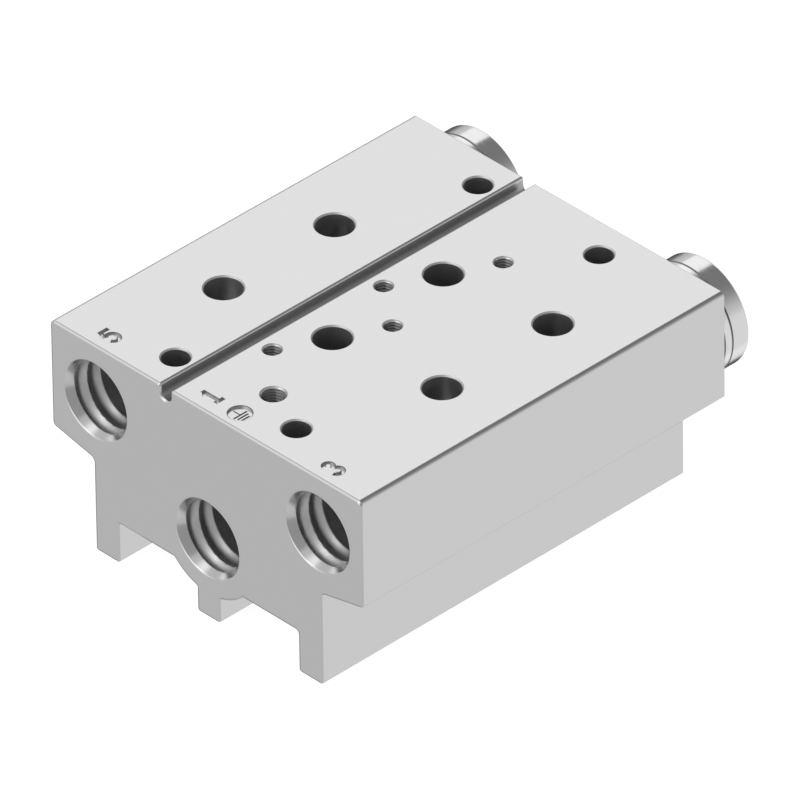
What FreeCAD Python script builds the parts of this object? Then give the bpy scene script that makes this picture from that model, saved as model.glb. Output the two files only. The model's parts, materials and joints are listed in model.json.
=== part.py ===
import FreeCAD, Part
import enum
import math
import os
import Sketcher

# Base for pneumatic valves: an aluminium extrusion that is cut to length and machined.
# Three galleries run the whole length. Gallery 1 feeds the valves and galleries 5 and 3 take
# their exhaust. Each valve sits on one station of the top face, over three drillings that lead
# down to the galleries. The far ends of the galleries are closed by screw plugs on sealing rings.
#
# The origin is the middle of the underside of the centre foot. X runs across the extrusion,
# Y along it, from the open ports at -Y to the plugs at +Y, and Z is up. Millimetres.

SIZES = {
    # the extrusion: the length follows from the stations and the margin at each end
    "station_count": 2,
    "station_pitch": 22.0,
    "end_margin": 25.15,
    "block_width": 63.3,
    "block_height": 36.0,
    "side_height": 18.3,
    "underside_drop": 1.8,
    # the feet straddle a 35 mm rail, and the boss around gallery 1 stands down between them
    "rail_gap": 36.8,
    "outer_foot_width": 4.8,
    "centre_foot_width": 4.6,
    "foot_height": 7.0,
    "boss_diameter": 19.2,
    # roundings that run along the extrusion, and the bevel around its sawn ends
    "top_edge_radius": 0.5,
    "side_edge_radius": 0.5,
    "shoulder_radius": 1.0,
    "foot_tip_radius": 0.4,
    "recess_corner_radius": 0.6,
    "boss_root_radius": 0.5,
    "end_bevel": 0.25,
    # the groove in the top that holds a label strip
    "groove_offset": 8.0,
    "groove_width": 2.2,
    "groove_depth": 2.35,
    "groove_edge_radius": 0.3,
    # galleries, and the tapped ports at both of their ends (G 1/4, core diameter): the exhausts
    # lie under the sides and the top, and the supply over the centre foot
    "exhaust_margin": 9.0,
    "exhaust_depth": 9.75,
    "supply_height": 13.6,
    "gallery_bore": 10.5,
    "port_core": 11.445,
    "port_mouth": 13.0,
    "port_mouth_angle": 60.0,
    "port_depth": 13.0,
    # the three drillings of a station: those to the exhausts break in beside the gallery's axis
    "valve_port_bore": 5.8,
    "valve_port_inset": 2.9,
    "valve_port_stagger": 2.4,
    "exhaust_drilling_depth": 6.8,
    # the two tapped holes (M3, core diameter) that hold a valve
    "valve_screw_core": 2.5,
    "valve_screw_mouth": 3.1,
    "valve_screw_offset": 3.95,
    "valve_screw_stagger": 8.05,
    "valve_screw_depth": 7.5,
    # four holes for M4 screws, right through
    "mounting_bore": 4.3,
    "mounting_spacing": 24.6,
    "mounting_margin": 6.15,
    # one tapped hole (M4, core diameter) for the earth wire
    "earth_core": 3.3,
    "earth_mouth": 4.1,
    "earth_offset": 4.0,
    "earth_margin": 9.65,
    "earth_depth": 8.0,
    # shared by the small holes
    "countersink_angle": 90.0,
    "drill_point_angle": 118.0,
    "rim_bevel": 0.22,
    # screw plugs and their sealing rings
    "plug_head_diameter": 17.7,
    "plug_head_height": 3.25,
    "plug_clearance": 0.1,
    "plug_length": 9.0,
    "plug_chamfer": 0.4,
    "plug_bevel": 0.25,
    "socket_width": 6.0,
    "socket_depth": 5.0,
    "ring_height": 1.6,
    "ring_clearance": 0.2,
}

BLOCK_LENGTH = "(Sizes.station_count - 1) * Sizes.station_pitch + 2 * Sizes.end_margin"
EXHAUST_OFFSET = "(Sizes.block_width / 2 - Sizes.exhaust_margin)"
EXHAUST_HEIGHT = "(Sizes.block_height - Sizes.exhaust_depth)"
SUPPLY_HEIGHT = "Sizes.supply_height"
GALLERIES = {
    "5": (f"-{EXHAUST_OFFSET}", EXHAUST_HEIGHT),
    "1": ("0", SUPPLY_HEIGHT),
    "3": (EXHAUST_OFFSET, EXHAUST_HEIGHT),
}
FIRST_STATION = "-(Sizes.station_count - 1) * Sizes.station_pitch / 2"
NEAR = 0.001

HEXAGON_SIDE_COUNT = 6
FULL_TURN_ANGLE = 360.0
DECIMAL_COUNT = 2


class Point(enum.IntEnum):
    """How a sketch numbers the points of a line or an arc."""

    START = 1
    END = 2
    CENTRE = 3


class Fixed(enum.IntEnum):
    """How a sketch numbers its own origin and its upright axis."""

    ORIGIN = -1
    UPRIGHT = -2


doc = FreeCAD.newDocument("valve_manifold_base")
sheet = doc.addObject("Spreadsheet::Sheet", "Sizes")
for row, (alias, value) in enumerate(SIZES.items(), start=1):
    sheet.set(f"A{row}", alias)
    sheet.set(f"B{row}", str(value))
    sheet.setAlias(f"B{row}", alias)
doc.recompute()


def size(alias):
    """The value of one size, for finding edges by where they lie."""
    return float(sheet.get(alias))


def value_of(formula):
    """The present value of a formula in the sheet's sizes."""
    result = sheet.evalExpression(formula.replace("Sizes.", ""))
    return float(getattr(result, "Value", result))


def new_body(label):
    """A sub-part of its own, whose label names its file."""
    body = doc.addObject("PartDesign::Body", label)
    body.Label = label
    return body


def datum(body, role):
    """One of the body's own origin planes or axes."""
    return next(item for item in body.Origin.OriginFeatures if item.Role == role)


def new_sketch(body, name, role, height="0"):
    """A sketch on an origin plane of the body, raised along the plane's normal."""
    sketch = body.newObject("Sketcher::SketchObject", name)
    sketch.AttachmentSupport = [(datum(body, role), "")]
    sketch.MapMode = "FlatFace"
    sketch.setExpression("AttachmentOffset.Base.z", height)
    return sketch


def place(sketch, geometry, point, across, up):
    """Dimensions one point of a sketch from its origin."""
    for kind, distance in (("DistanceX", across), ("DistanceY", up)):
        start = value_of(distance)
        link = Sketcher.Constraint(kind, Fixed.ORIGIN, Point.START, geometry, point, start)
        index = sketch.addConstraint(link)
        sketch.setExpression(f"Constraints[{index}]", distance)


def draw_circle(sketch, across, up, diameter):
    """A circle with a dimensioned centre and diameter."""
    normal = FreeCAD.Vector(0, 0, 1)
    centre = FreeCAD.Vector(value_of(across), value_of(up), 0)
    circle = sketch.addGeometry(Part.Circle(centre, normal, value_of(diameter) / 2))
    place(sketch, circle, Point.CENTRE, across, up)
    drawn = value_of(diameter)
    index = sketch.addConstraint(Sketcher.Constraint("Diameter", circle, drawn))
    sketch.setExpression(f"Constraints[{index}]", diameter)
    return circle


def join_ends(sketch, first, second):
    """Puts the start of one line where another one ends."""
    link = Sketcher.Constraint("Coincident", first, Point.END, second, Point.START)
    sketch.addConstraint(link)


def draw_outline(sketch, corners):
    """A closed outline of straight lines, with a dimensioned point at each corner."""
    count = len(corners)
    starts = []
    for across, up in corners:
        starts.append(FreeCAD.Vector(value_of(across), value_of(up), 0))
    for number, start in enumerate(starts):
        sketch.addGeometry(Part.LineSegment(start, starts[(number + 1) % count]))
    for number, (across, up) in enumerate(corners):
        following = (number + 1) % count
        join_ends(sketch, number, following)
        place(sketch, number, Point.START, across, up)


def settle(body, feature, grows=False):
    """Recomputes, and makes sure that a feature really added or removed material."""
    body.Tip = feature
    doc.recompute()
    if feature.BaseFeature is not None:
        change = feature.Shape.Volume - feature.BaseFeature.Shape.Volume
        if (change > 0) != grows or change == 0:
            raise RuntimeError(f"{feature.Name} changed the volume by {change}")
    return feature


def pad(body, name, sketch, length, centred=True):
    """Material on both sides of the sketch's plane, or on its far side alone."""
    feature = body.newObject("PartDesign::Pad", name)
    feature.Profile = sketch
    feature.setExpression("Length", length)
    feature.Midplane = centred
    feature.Reversed = not centred
    return settle(body, feature, grows=True)


def cut(body, name, sketch, depth=None):
    """A pocket, to a depth below the sketch or right through on both sides of it."""
    pocket = body.newObject("PartDesign::Pocket", name)
    pocket.Profile = sketch
    if depth is None:
        pocket.Type = "ThroughAll"
        pocket.Midplane = True
    else:
        pocket.setExpression("Length", depth)
    return settle(body, pocket)


def drill(body, name, sketch, core, depth, mouth, angle, pointed=True):
    """A blind hole at each circle of a sketch, with a countersunk mouth."""
    doc.recompute()
    hole = body.newObject("PartDesign::Hole", name)
    hole.Profile = sketch
    hole.Threaded = False
    hole.DepthType = "Dimension"
    hole.HoleCutType = "Countersink"
    hole.HoleCutCustomValues = True
    hole.DrillPoint = "Angled" if pointed else "Flat"
    hole.setExpression("Diameter", core)
    hole.setExpression("Depth", depth)
    hole.setExpression("HoleCutDiameter", mouth)
    hole.setExpression("HoleCutCountersinkAngle", angle)
    if pointed:
        hole.setExpression("DrillPointAngle", "Sizes.drill_point_angle")
    return settle(body, hole)


def repeat(body, name, features):
    """The features of the first station, repeated at the others."""
    pattern = body.newObject("PartDesign::LinearPattern", name)
    pattern.Originals = features
    pattern.Direction = (datum(body, "Y_Axis"), [""])
    pattern.Mode = "Spacing"
    pattern.setExpression("Offset", "Sizes.station_pitch")
    pattern.setExpression("Occurrences", "Sizes.station_count")
    return settle(body, pattern)


def edges_where(shape, test):
    """Names of the edges that pass a test."""
    return [f"Edge{number}" for number, edge in enumerate(shape.Edges, start=1) if test(edge)]


def round_edges(body, name, test, radius, grows=False):
    """A fillet on the edges of the body that pass a test."""
    base = body.Tip
    names = edges_where(base.Shape, test)
    if not names:
        raise RuntimeError(f"{name} found no edge")
    fillet = body.newObject("PartDesign::Fillet", name)
    fillet.Base = (base, names)
    fillet.setExpression("Radius", radius)
    return settle(body, fillet, grows=grows)


def bevel_edges(body, name, test, width):
    """A chamfer on the edges of the body that pass a test."""
    base = body.Tip
    names = edges_where(base.Shape, test)
    if not names:
        raise RuntimeError(f"{name} found no edge")
    chamfer = body.newObject("PartDesign::Chamfer", name)
    chamfer.Base = (base, names)
    chamfer.setExpression("Size", width)
    return settle(body, chamfer)


def lengthwise_at(across, up):
    """A test for the two straight edges along the extrusion at plus and minus one place."""

    def test(edge):
        box = edge.BoundBox
        straight = box.XLength < NEAR and box.ZLength < NEAR
        return straight and abs(abs(box.XMin) - across) < NEAR and abs(box.ZMin - up) < NEAR

    return test


def any_of(tests):
    """A test for the edges that pass at least one of some tests."""

    def test(edge):
        return any(one(edge) for one in tests)

    return test


def circle_at_height(up, diameter):
    """A test for the level circles of one diameter at one height."""

    def test(edge):
        level = edge.BoundBox.ZLength < NEAR and abs(edge.BoundBox.ZMin - up) < NEAR
        return level and has_diameter(edge, diameter)

    return test


def circle_across(along, diameter):
    """A test for the circles of one diameter that lie square to the galleries at one place."""

    def test(edge):
        square = edge.BoundBox.YLength < NEAR and abs(edge.BoundBox.YMin - along) < NEAR
        return square and has_diameter(edge, diameter)

    return test


def has_diameter(edge, diameter):
    """Whether an edge is a circle of this diameter."""
    return hasattr(edge.Curve, "Radius") and abs(2 * edge.Curve.Radius - diameter) < NEAR


def in_end_face(along):
    """A test for the edges around one sawn end."""

    def test(edge):
        box = edge.BoundBox
        return box.YLength < NEAR and abs(box.YMin - along) < NEAR

    return test


def make_extrusion(body):
    """The extruded section with its feet, boss, label groove and rounded edges."""
    half = "Sizes.block_width / 2"
    gap = "Sizes.rail_gap / 2"
    foot = "Sizes.rail_gap / 2 + Sizes.outer_foot_width"
    keel = "Sizes.centre_foot_width / 2"
    top = "Sizes.block_height"
    side = "Sizes.block_height - Sizes.side_height"
    shoulder = "Sizes.block_height - Sizes.side_height - Sizes.underside_drop"
    ceiling = "Sizes.foot_height"
    right = [(half, top), (half, side), (foot, shoulder), (foot, "0"), (gap, "0")]
    right += [(gap, ceiling), (keel, ceiling), (keel, "0")]
    left = [(f"-({across})", up) for across, up in reversed(right)]
    section = new_sketch(body, "section", "XZ_Plane")
    draw_outline(section, right + left)
    pad(body, "extrusion", section, BLOCK_LENGTH)

    ring = new_sketch(body, "boss_outline", "XZ_Plane")
    draw_circle(ring, "0", SUPPLY_HEIGHT, "Sizes.boss_diameter")
    pad(body, "supply_boss", ring, BLOCK_LENGTH)

    at = value_of
    boss = size("boss_diameter") / 2
    root = at(SUPPLY_HEIGHT) - (boss**2 - at(keel) ** 2) ** 0.5
    spread = (boss**2 - (at(SUPPLY_HEIGHT) - at(ceiling)) ** 2) ** 0.5
    round_edges(body, "top_edges", lengthwise_at(at(half), at(top)), "Sizes.top_edge_radius")
    round_edges(body, "side_edges", lengthwise_at(at(half), at(side)), "Sizes.side_edge_radius")
    at_shoulder = lengthwise_at(at(foot), at(shoulder))
    round_edges(body, "shoulders", at_shoulder, "Sizes.shoulder_radius", grows=True)
    round_edges(body, "outer_foot_tips", lengthwise_at(at(foot), 0), "Sizes.foot_tip_radius")
    round_edges(body, "inner_foot_tips", lengthwise_at(at(gap), 0), "Sizes.foot_tip_radius")
    round_edges(body, "centre_foot_tips", lengthwise_at(at(keel), 0), "Sizes.foot_tip_radius")
    at_corner = lengthwise_at(at(gap), at(ceiling))
    round_edges(body, "recess_corners", at_corner, "Sizes.recess_corner_radius", grows=True)
    at_root = lengthwise_at(at(keel), root)
    round_edges(body, "boss_roots", at_root, "Sizes.boss_root_radius", grows=True)
    at_spread = lengthwise_at(spread, at(ceiling))
    round_edges(body, "boss_corners", at_spread, "Sizes.boss_root_radius", grows=True)


def make_groove(body):
    """The label groove: straight walls, a round bottom and rounded lips."""
    middle = "-Sizes.groove_offset"
    radius = "Sizes.groove_width / 2"
    top = "Sizes.block_height"
    slot = new_sketch(body, "groove_section", "XZ_Plane")
    low = f"{top} - Sizes.groove_depth + {radius}"
    clear_of_top = f"{top} + {radius}"
    left_x = value_of(f"{middle} - {radius}")
    right_x = value_of(f"{middle} + {radius}")
    low_z = value_of(low)
    high_z = value_of(clear_of_top)
    centre = FreeCAD.Vector(value_of(middle), low_z, 0)
    normal = FreeCAD.Vector(0, 0, 1)
    corners = [(left_x, low_z), (left_x, high_z), (right_x, high_z), (right_x, low_z)]
    points = [FreeCAD.Vector(x, z, 0) for x, z in corners]
    for start, end in zip(points, points[1:]):
        slot.addGeometry(Part.LineSegment(start, end))
    bottom = Part.Circle(centre, normal, value_of(radius))
    slot.addGeometry(Part.ArcOfCircle(bottom, math.pi, 2 * math.pi))
    left, lid, right, floor = range(len(points))
    join_ends(slot, left, lid)
    join_ends(slot, lid, right)
    slot.addConstraint(Sketcher.Constraint("Tangent", right, Point.END, floor, Point.END))
    slot.addConstraint(Sketcher.Constraint("Tangent", floor, Point.START, left, Point.START))
    slot.addConstraint(Sketcher.Constraint("Vertical", left))
    slot.addConstraint(Sketcher.Constraint("Horizontal", lid))
    slot.addConstraint(Sketcher.Constraint("Vertical", right))
    place(slot, floor, Point.CENTRE, middle, low)
    place(slot, lid, Point.START, f"{middle} - {radius}", clear_of_top)
    cut(body, "label_groove", slot)

    at_lips = [lengthwise_at(abs(x), size("block_height")) for x in (left_x, right_x)]
    round_edges(body, "groove_lips", any_of(at_lips), "Sizes.groove_edge_radius")


def make_galleries(body):
    """Three galleries along the block, tapped at both ends."""
    bores = new_sketch(body, "gallery_bores", "XZ_Plane")
    for across, up in GALLERIES.values():
        draw_circle(bores, across, up, "Sizes.gallery_bore")
    cut(body, "galleries", bores)

    mouths = new_sketch(body, "port_bores", "XZ_Plane", f"({BLOCK_LENGTH}) / 2")
    for across, up in GALLERIES.values():
        draw_circle(mouths, across, up, "Sizes.port_core")
    core, depth = "Sizes.port_core", "Sizes.port_depth"
    mouth, angle = "Sizes.port_mouth", "Sizes.port_mouth_angle"
    ports = drill(body, "end_ports", mouths, core, depth, mouth, angle, pointed=False)
    far_ports = body.newObject("PartDesign::Mirrored", "far_end_ports")
    far_ports.Originals = [ports]
    far_ports.MirrorPlane = (datum(body, "XZ_Plane"), [""])
    settle(body, far_ports)


def make_stations(body):
    """The drillings and tapped holes of one valve station, repeated along the block."""
    top = "Sizes.block_height"
    bore = "Sizes.valve_port_bore"
    exhausts = new_sketch(body, "exhaust_drillings_plan", "XY_Plane", top)
    for sign in ("-", ""):
        across = f"{sign}({EXHAUST_OFFSET} - Sizes.valve_port_inset)"
        along = f"{FIRST_STATION} + ({sign}Sizes.valve_port_stagger)"
        draw_circle(exhausts, across, along, bore)
    exhaust_cut = cut(body, "exhaust_drillings", exhausts, "Sizes.exhaust_drilling_depth")

    supply = new_sketch(body, "supply_drilling_plan", "XY_Plane", top)
    draw_circle(supply, "0", FIRST_STATION, bore)
    supply_cut = cut(body, "supply_drilling", supply, f"{top} - {SUPPLY_HEIGHT}")

    screws = new_sketch(body, "valve_screws_plan", "XY_Plane", top)
    for sign in ("-", ""):
        across = f"{sign}Sizes.valve_screw_offset"
        along = f"{FIRST_STATION} + ({sign}Sizes.valve_screw_stagger)"
        draw_circle(screws, across, along, "Sizes.valve_screw_core")
    core, depth = "Sizes.valve_screw_core", "Sizes.valve_screw_depth"
    mouth, angle = "Sizes.valve_screw_mouth", "Sizes.countersink_angle"
    screw_holes = drill(body, "valve_screw_holes", screws, core, depth, mouth, angle)
    repeat(body, "stations", [exhaust_cut, supply_cut, screw_holes])


def make_mountings(body):
    """The four through holes and the tapped earth hole, placed from the ends of the block."""
    top = "Sizes.block_height"
    plan = new_sketch(body, "mounting_plan", "XY_Plane", top)
    reach = f"(({BLOCK_LENGTH}) / 2 - Sizes.mounting_margin)"
    for across_sign in ("-", ""):
        for along_sign in ("-", ""):
            across = f"{across_sign}Sizes.mounting_spacing / 2"
            draw_circle(plan, across, f"{along_sign}{reach}", "Sizes.mounting_bore")
    cut(body, "mounting_holes", plan)

    earth = new_sketch(body, "earth_plan", "XY_Plane", top)
    along = f"Sizes.earth_margin - ({BLOCK_LENGTH}) / 2"
    draw_circle(earth, "Sizes.earth_offset", along, "Sizes.earth_core")
    core, depth = "Sizes.earth_core", "Sizes.earth_depth"
    drill(body, "earth_hole", earth, core, depth, "Sizes.earth_mouth", "Sizes.countersink_angle")

    tests = [
        circle_at_height(size("block_height"), size(diameter))
        for diameter in ("valve_port_bore", "mounting_bore")
    ]
    bevel_edges(body, "hole_rims", any_of(tests), "Sizes.rim_bevel")


def make_block():
    """The machined block, one piece."""
    body = new_body("manifold_block")
    make_extrusion(body)
    make_groove(body)
    end = value_of(BLOCK_LENGTH) / 2
    bevel_edges(body, "open_end_edges", in_end_face(-end), "Sizes.end_bevel")
    bevel_edges(body, "far_end_edges", in_end_face(end), "Sizes.end_bevel")
    make_galleries(body)
    make_stations(body)
    make_mountings(body)
    return body


def stand_at_port(body, across, up):
    """Puts a piece on the axis of a gallery, at the far end of the block."""
    body.setExpression("Placement.Base.x", across)
    body.setExpression("Placement.Base.y", f"({BLOCK_LENGTH}) / 2")
    body.setExpression("Placement.Base.z", up)


def draw_hexagon(sketch, across_flats):
    """A regular hexagon about the origin, with one corner straight up. Its corners lie on a
    guide circle, whose diameter is the width across corners."""
    sides = range(HEXAGON_SIDE_COUNT)
    upright = FreeCAD.Vector(0, 0, 1)
    step = FULL_TURN_ANGLE / HEXAGON_SIDE_COUNT
    across_corners = f"{across_flats} / cos({step / 2} deg)"
    reach = value_of(across_corners) / 2
    corners = []
    for number in sides:
        turn = FreeCAD.Rotation(upright, step * number)
        corners.append(turn.multVec(FreeCAD.Vector(0, reach, 0)))
    for number, corner in enumerate(corners):
        following = corners[(number + 1) % HEXAGON_SIDE_COUNT]
        sketch.addGeometry(Part.LineSegment(corner, following))
    guide = sketch.addGeometry(Part.Circle(FreeCAD.Vector(0, 0, 0), upright, reach), True)
    middle = (guide, Point.CENTRE, Fixed.ORIGIN, Point.START)
    sketch.addConstraint(Sketcher.Constraint("Coincident", *middle))
    for number in sides:
        join_ends(sketch, number, (number + 1) % HEXAGON_SIDE_COUNT)
        on_guide = Sketcher.Constraint("PointOnObject", number, Point.START, guide)
        sketch.addConstraint(on_guide)
    for number in sides[1:]:
        sketch.addConstraint(Sketcher.Constraint("Equal", 0, number))
    at_top = Sketcher.Constraint("PointOnObject", 0, Point.START, Fixed.UPRIGHT)
    sketch.addConstraint(at_top)
    index = sketch.addConstraint(Sketcher.Constraint("Diameter", guide, 2 * reach))
    sketch.setExpression(f"Constraints[{index}]", across_corners)


def make_plug(label, across, up):
    """A screw plug: a round head over its sealing ring, a shank with a chamfered tip, and a
    hexagon socket for the key. It is turned about its own Y axis, with Y = 0 at the block's end."""
    body = new_body(label)
    head = "Sizes.plug_head_diameter / 2"
    shank = "Sizes.port_core / 2 - Sizes.plug_clearance"
    seat = "Sizes.ring_height"
    face = "Sizes.ring_height + Sizes.plug_head_height"
    tip = "-Sizes.plug_length"
    profile = new_sketch(body, f"{label}_profile", "XY_Plane")
    corners = [("0", face), (head, face), (head, seat), (shank, seat)]
    corners += [(shank, f"{tip} + Sizes.plug_chamfer")]
    corners += [(f"{shank} - Sizes.plug_chamfer", tip), ("0", tip)]
    draw_outline(profile, corners)
    turned = body.newObject("PartDesign::Revolution", f"{label}_turned")
    turned.Profile = profile
    turned.ReferenceAxis = (profile, ["V_Axis"])
    turned.Angle = FULL_TURN_ANGLE
    settle(body, turned)

    is_rim = circle_across(value_of(face), size("plug_head_diameter"))
    bevel_edges(body, f"{label}_rim", is_rim, "Sizes.plug_bevel")

    socket = new_sketch(body, f"{label}_socket_plan", "XZ_Plane", f"-({face})")
    draw_hexagon(socket, "Sizes.socket_width")
    key = body.newObject("PartDesign::Pocket", f"{label}_socket")
    key.Profile = socket
    key.setExpression("Length", "Sizes.socket_depth")
    key.Reversed = True
    settle(body, key)
    stand_at_port(body, across, up)
    return body


def make_sealing_ring(label, across, up):
    """A flat ring between the block's end and the head of a plug."""
    body = new_body(label)
    plan = new_sketch(body, f"{label}_plan", "XZ_Plane")
    draw_circle(plan, "0", "0", "Sizes.plug_head_diameter")
    draw_circle(plan, "0", "0", "Sizes.port_mouth + 2 * Sizes.ring_clearance")
    pad(body, f"{label}_disc", plan, "Sizes.ring_height", centred=False)
    stand_at_port(body, across, up)
    return body


parts = [make_block()]
for number, (across, up) in GALLERIES.items():
    parts.append(make_sealing_ring(f"sealing_ring_{number}", across, up))
    parts.append(make_plug(f"blanking_plug_{number}", across, up))
doc.recompute()

for item in doc.Objects:
    if "Invalid" in item.State or "Error" in item.State:
        raise RuntimeError(f"{item.Name} is {item.State}")
for part in parts:
    if part.Shape.isNull() or not part.Shape.isValid() or len(part.Shape.Solids) != 1:
        raise RuntimeError(f"{part.Label} isn't one valid solid")

os.makedirs("parts", exist_ok=True)
for part in parts:
    part.Shape.exportStep(os.path.join("parts", f"{part.Label}.step"))
    box = part.Shape.BoundBox
    low = [round(value, DECIMAL_COUNT) for value in (box.XMin, box.YMin, box.ZMin)]
    high = [round(value, DECIMAL_COUNT) for value in (box.XMax, box.YMax, box.ZMax)]
    volume = round(part.Shape.Volume, DECIMAL_COUNT)
    print(part.Label, "volume", volume, "from", low, "to", high)
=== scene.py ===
# %% [markdown]
# # The looks of a valve manifold base
#
# The object is a block of extruded aluminium with three galleries along it. Valves sit on its flat
# top, fittings screw into the ports in its front end, and three screw plugs close the far end.
#
# The measured model comes first, as a fixed frame. Every surface is then worked out in millimetres
# in that frame and turned into metres when it becomes a mesh, so nothing has to be fitted afterwards.

# %% Load the measured model
import json
import math

import bpy
import numpy as np
from mathutils import Matrix, Vector

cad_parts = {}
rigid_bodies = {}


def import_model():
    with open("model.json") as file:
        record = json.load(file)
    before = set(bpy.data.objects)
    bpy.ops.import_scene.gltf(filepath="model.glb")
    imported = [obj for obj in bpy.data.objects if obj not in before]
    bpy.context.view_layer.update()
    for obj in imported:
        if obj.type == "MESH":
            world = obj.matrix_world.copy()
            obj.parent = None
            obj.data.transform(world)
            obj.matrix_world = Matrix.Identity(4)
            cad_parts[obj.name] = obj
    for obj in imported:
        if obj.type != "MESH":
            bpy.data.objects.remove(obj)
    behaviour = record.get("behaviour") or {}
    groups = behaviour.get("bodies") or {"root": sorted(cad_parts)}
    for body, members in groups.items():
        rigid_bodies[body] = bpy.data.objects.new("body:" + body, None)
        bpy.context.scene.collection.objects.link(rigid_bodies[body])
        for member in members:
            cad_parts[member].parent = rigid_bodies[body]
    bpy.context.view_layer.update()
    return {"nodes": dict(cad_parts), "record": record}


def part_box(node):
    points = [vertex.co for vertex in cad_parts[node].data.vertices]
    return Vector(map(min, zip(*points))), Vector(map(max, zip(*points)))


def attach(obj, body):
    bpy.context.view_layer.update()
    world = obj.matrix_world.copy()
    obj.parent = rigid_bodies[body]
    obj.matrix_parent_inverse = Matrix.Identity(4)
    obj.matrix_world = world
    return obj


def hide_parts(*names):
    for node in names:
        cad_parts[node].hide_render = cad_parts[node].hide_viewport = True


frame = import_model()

MILLIMETRE = 0.001
mounts = {mount["name"]: mount for mount in frame["record"]["mounts"]}
print("nodes:", sorted(frame["nodes"]))

# %% [markdown]
# ## Reading sizes from the frame
#
# A size that the measured model already holds is read from it, so that a change there is followed
# here. Each node gives the corners of its box, and each mount the middle and the radius of a hole.

# %% Sizes from the frame
def node_box(node):
    """The lowest and highest corner of a node, in millimetres."""
    low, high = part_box(node)
    return np.array(low) / MILLIMETRE, np.array(high) / MILLIMETRE


def mount_place(name):
    """The middle of a mount, in millimetres."""
    return np.array(mounts[name]["pos_m"]) / MILLIMETRE


def mount_size(name, size):
    """One stated size of a mount, in millimetres."""
    return mounts[name]["dims"][size]


block_low, block_high = node_box("manifold_block")
HALF_WIDTH = float(block_high[0])
HALF_LENGTH = float(block_high[1])
HEIGHT = float(block_high[2])
FRONT = -HALF_LENGTH
PORT_NUMBERS = ("5", "1", "3")
galleries = {number: mount_place(f"port_{number}") for number in PORT_NUMBERS}
print("block:", 2 * HALF_WIDTH, "x", 2 * HALF_LENGTH, "x", HEIGHT, "mm")

# %% [markdown]
# ## Turning numbers into meshes
#
# Nearly every surface here is a grid: rows of points that follow each other along a path, with
# columns going round it. Blender wants a list of points and a list of faces, and both can be worked
# out for the whole grid at once with numpy. A closed grid also needs a cap at each end. The same
# shapes could be built up by hand from cylinders and boxes, but a grid keeps every size exact.
#
# Faces have to point outwards. Their order says which way they point, and the signed volume of a
# closed mesh tells if the order is right: it is negative when the mesh is inside out.

# %% Grids, caps and closed meshes
def grid_faces(rows, columns, joined_rows=False):
    """Four-sided faces of a grid whose columns go round and meet. With joined_rows, the last row
    meets the first one too, as on a ring."""
    row, column = np.meshgrid(np.arange(rows if joined_rows else rows - 1),
                              np.arange(columns), indexing="ij")
    next_row = (row + 1) % rows
    next_column = (column + 1) % columns
    corners = (row * columns + column, row * columns + next_column,
               next_row * columns + next_column, next_row * columns + column)
    return np.stack(corners, axis=-1).reshape(-1, 4).tolist()


def tube(points):
    """A closed shape from an array of rows x columns x 3, with one flat face over each end row."""
    rows, columns = points.shape[:2]
    first = list(range(columns))
    last = list(range((rows - 1) * columns, rows * columns))
    return points.reshape(-1, 3), grid_faces(rows, columns) + [first[::-1], last]


def loop(points):
    """A closed shape from an array of rows x columns x 3 whose last row meets its first one."""
    rows, columns = points.shape[:2]
    return points.reshape(-1, 3), grid_faces(rows, columns, joined_rows=True)


def signed_volume(points, faces):
    """A sixth of the sum of a . (b x c) over the triangles that fan out from each face's first
    corner: positive if the faces point outwards."""
    fans = [(face[0], face[i], face[i + 1]) for face in faces for i in range(1, len(face) - 1)]
    a, b, c = points[np.array(fans)].transpose(1, 0, 2)
    return float(np.einsum("ij,ij->i", a, np.cross(b, c)).sum() / 6)


def facing_out(shape):
    """The same closed shape with its faces turned outwards."""
    points, faces = shape
    if signed_volume(points, faces) < 0:
        faces = [face[::-1] for face in faces]
    return points, faces


def joined(shapes):
    """Several closed shapes as one list of points and one list of faces."""
    points, faces, used = [], [], 0
    for shape_points, shape_faces in map(facing_out, shapes):
        points.append(shape_points)
        faces += [[corner + used for corner in face] for face in shape_faces]
        used += len(shape_points)
    return np.concatenate(points), faces


def make_object(name, shape):
    """A Blender object in metres from a closed shape in millimetres."""
    points, faces = facing_out(shape)
    mesh = bpy.data.meshes.new(name)
    mesh.from_pydata((points * MILLIMETRE).tolist(), [], faces)
    mesh.validate()
    made = bpy.data.objects.new(name, mesh)
    bpy.context.scene.collection.objects.link(made)
    return made


SHARP_ANGLE = math.radians(30)


def round_shading(piece):
    """Smooth shading that keeps every edge sharper than 30 degrees, with flat faces left flat,
    because the largest faces count most in the direction of a corner's normal."""
    mesh = piece.data
    mesh.polygons.foreach_set("use_smooth", np.ones(len(mesh.polygons), dtype=bool))
    mesh.set_sharp_from_angle(angle=SHARP_ANGLE)
    weighted = piece.modifiers.new("even normals", "WEIGHTED_NORMAL")
    weighted.keep_sharp = True
    weighted.weight = 100

# %% [markdown]
# ## The section of the extrusion
#
# The block starts as a bar pushed through a die, so one outline says almost everything about its
# outside: square shoulders, three feet that straddle a rail, a round boss that gives the middle
# gallery its wall, and a groove for a label. It could be modelled by pushing the faces of a box
# about, but the die's edges are all rounded, and rounding them by formula keeps each radius exact.

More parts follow.
